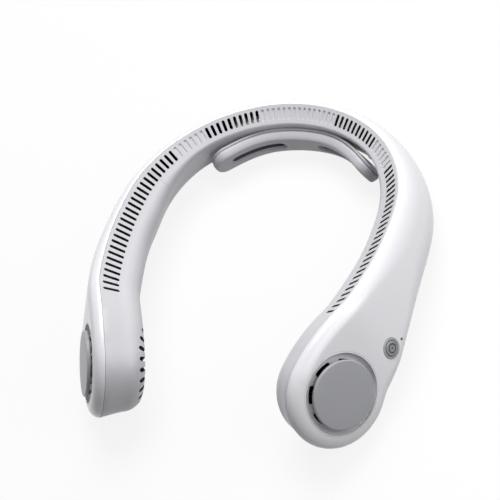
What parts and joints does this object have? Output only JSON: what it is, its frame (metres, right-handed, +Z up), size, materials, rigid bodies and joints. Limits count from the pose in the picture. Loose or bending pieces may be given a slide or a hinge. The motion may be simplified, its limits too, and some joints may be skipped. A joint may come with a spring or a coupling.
{
  "type": "neck fan",
  "caption": "Bladeless neck fan: a slotted C-shaped band of two shells with a capped blower housing on each arm end, a power button and a soft nape pad.",
  "frame": {"origin": "middle of the flat under the nape, on the surface that the band stands on", "axes": "+X to the wearer's left, which is the side of the power button; -Y to the wearer's front; +Z up"},
  "size_m": [0.2096, 0.2363, 0.0645],
  "materials": {
    "shell_gloss": "glossy white moulded ABS",
    "cover_satin": "satin light grey moulded ABS",
    "guard_grey": "satin light grey moulded ABS",
    "cap_grey": "satin mid grey moulded ABS",
    "pad_soft": "soft light grey silicone",
    "pad_base_grey": "satin mid grey plastic",
    "nylon_dark": "dark moulded nylon",
    "nylon_white": "white moulded nylon",
    "steel": "plated steel",
    "bronze": "sintered bronze",
    "magnet_dark": "bonded ferrite",
    "copper": "enamelled copper wire",
    "board_green": "solder resist on glass board",
    "foil": "foil pouch",
    "socket_metal": "nickel plated shell",
    "lamp_clear": "clear acrylic",
    "wire_sleeve": "soft sleeve"
  },
  "bodies": {
    "shell": {"outer_shell": "shell_gloss", "nape_inner_cover": "cover_satin", "right_arm_inner_cover": "cover_satin", "left_arm_inner_cover": "cover_satin", "power_bezel": "cap_grey", "power_switch": "nylon_dark", "main_board": "board_green", "status_lamp": "lamp_clear", "usb_socket": "socket_metal", "battery_cradle": "nylon_dark", "battery_board": "board_green", "right_fan_wire": "wire_sleeve", "left_fan_wire": "wire_sleeve", "battery_lead": "wire_sleeve", "pad_base": "pad_base_grey", "nape_pad": "pad_soft", "right_intake_guard": "guard_grey", "right_cap": "cap_grey", "right_motor_base": "nylon_dark", "right_bearing": "bronze", "right_stator_core": "steel", "right_stator_winding": "copper", "right_blower_scroll": "nylon_dark", "right_battery_cell": "foil", "right_motor_screw_1": "steel", "right_motor_screw_2": "steel", "right_motor_screw_3": "steel", "left_intake_guard": "guard_grey", "left_cap": "cap_grey", "left_motor_base": "nylon_dark", "left_bearing": "bronze", "left_stator_core": "steel", "left_stator_winding": "copper", "left_blower_scroll": "nylon_dark", "left_battery_cell": "foil", "left_motor_screw_1": "steel", "left_motor_screw_2": "steel", "left_motor_screw_3": "steel", "nape_screw_1": "steel", "nape_screw_2": "steel", "nape_screw_3": "steel", "nape_screw_4": "steel", "board_screw_1": "steel", "board_screw_2": "steel"},
    "right_rotor": {"right_impeller": "nylon_dark", "right_rotor_can": "steel", "right_rotor_magnet": "magnet_dark", "right_motor_shaft": "steel"},
    "left_rotor": {"left_impeller": "nylon_dark", "left_rotor_can": "steel", "left_rotor_magnet": "magnet_dark", "left_motor_shaft": "steel"},
    "power_key": {"power_button": "cap_grey", "switch_plunger": "nylon_white"}
  },
  "joints": [
    {"name": "right_fan_spin", "type": "hinge", "parent": "shell", "child": "right_rotor", "pos_m": [0.07047, -0.19409, 0.03013], "axis": [0.8064, -0.3561, 0.4721], "continuous": true},
    {"name": "left_fan_spin", "type": "hinge", "parent": "shell", "child": "left_rotor", "pos_m": [-0.07047, -0.19409, 0.03013], "axis": [-0.8064, -0.3561, 0.4721], "continuous": true},
    {"name": "power_press", "type": "slide", "parent": "shell", "child": "power_key", "axis": [-0.8774, 0.1921, -0.4396], "range_m": [0, 0.0004], "stiffness_N_per_m": 3000}
  ]
}
